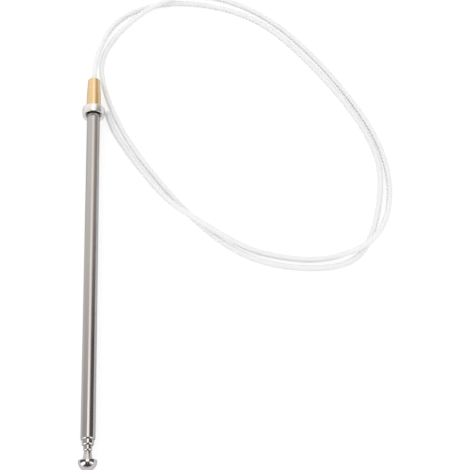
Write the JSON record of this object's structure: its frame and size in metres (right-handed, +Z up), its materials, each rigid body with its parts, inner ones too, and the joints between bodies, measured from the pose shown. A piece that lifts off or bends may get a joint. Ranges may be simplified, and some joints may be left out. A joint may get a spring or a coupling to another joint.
{
  "type": "power antenna mast",
  "caption": "Telescoping steel car antenna mast, pushed together, with a ball tip, chrome nut, brass base sleeve and a toothed nylon drive cord.",
  "frame": {"origin": "on the surface it lies on, under the middle of the mast with its cap, nut and sleeve; the free cord isn't counted", "axes": "+Y along the mast towards the sleeve and the cord's way out, -Y to the ball tip, +X to the side where the cord lies, +Z up"},
  "size_m": [0.188, 0.319, 0.0139],
  "materials": {
    "steel": "satin drawn tube",
    "chrome": "polished",
    "brass": "turned, lightly polished",
    "bronze": "bare rolled strip",
    "nylon": "white moulded nylon"
  },
  "bodies": {
    "mast": {"outer_tube": "steel", "base_sleeve": "brass", "drive_cord": "nylon"},
    "second_section": {"second_tube": "steel", "second_shoe_left": "bronze", "second_shoe_right": "bronze"},
    "third_section": {"third_tube": "steel", "third_shoe_left": "bronze", "third_shoe_right": "bronze"},
    "tip": {"tip_rod": "steel", "tip_cap": "chrome", "cord_ferrule": "brass", "rod_shoe_left": "bronze", "rod_shoe_right": "bronze"},
    "nut": {"mast_nut": "chrome"}
  },
  "joints": [
    {"name": "second_slide", "type": "slide", "parent": "mast", "child": "second_section", "axis": [0, -1, -0.0085], "range_m": [0, 0.2036]},
    {"name": "third_slide", "type": "slide", "parent": "second_section", "child": "third_section", "axis": [0, -1, -0.0085], "range_m": [0, 0.1935]},
    {"name": "tip_slide", "type": "slide", "parent": "third_section", "child": "tip", "axis": [0, -1, -0.0085], "range_m": [0, 0.1771]},
    {"name": "nut_slide", "type": "slide", "parent": "mast", "child": "nut", "axis": [0, -1, -0.0085], "range_m": [0, 0.2035]}
  ]
}
